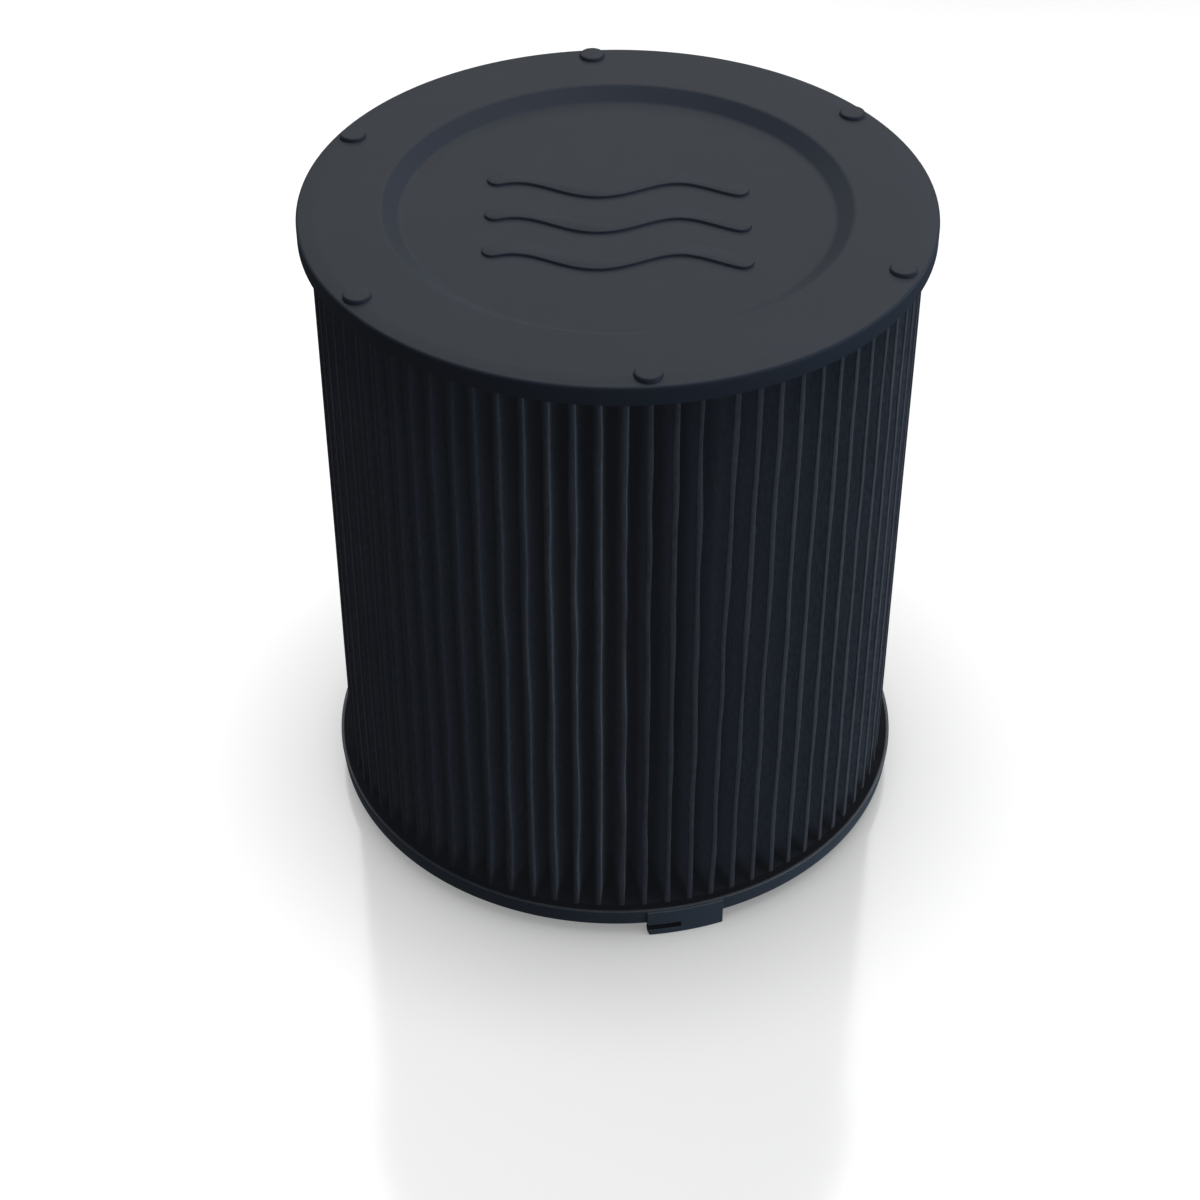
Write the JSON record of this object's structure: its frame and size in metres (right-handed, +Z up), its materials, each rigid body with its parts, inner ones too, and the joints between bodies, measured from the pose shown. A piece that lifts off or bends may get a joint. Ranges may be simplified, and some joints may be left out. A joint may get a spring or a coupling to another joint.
{
  "type": "air purifier filter",
  "caption": "Cylindrical pleated air filter with a closed moulded cap, an open bottom ring, a lattice core and bayonet lugs.",
  "frame": {"origin": "on the filter's axis, level with the lower faces of the three lugs", "axes": "+Z up along the filter's axis, towards the closed cap; -Y is the side that the picture shows, +X to its right"},
  "size_m": [0.22, 0.22, 0.251],
  "materials": {
    "cap_plastic": "matte moulded plastic",
    "filter_media": "matte non-woven sheet",
    "core_plastic": "matte moulded plastic",
    "ring_plastic": "satin moulded plastic",
    "adhesive": "smooth set glue",
    "gasket_foam": "closed-cell foam"
  },
  "bodies": {
    "root": {"top_cap": "cap_plastic", "pleated_media": "filter_media", "inner_core": "core_plastic", "bottom_ring": "ring_plastic", "top_adhesive": "adhesive", "bottom_adhesive": "adhesive", "seal_gasket": "gasket_foam"}
  },
  "joints": []
}
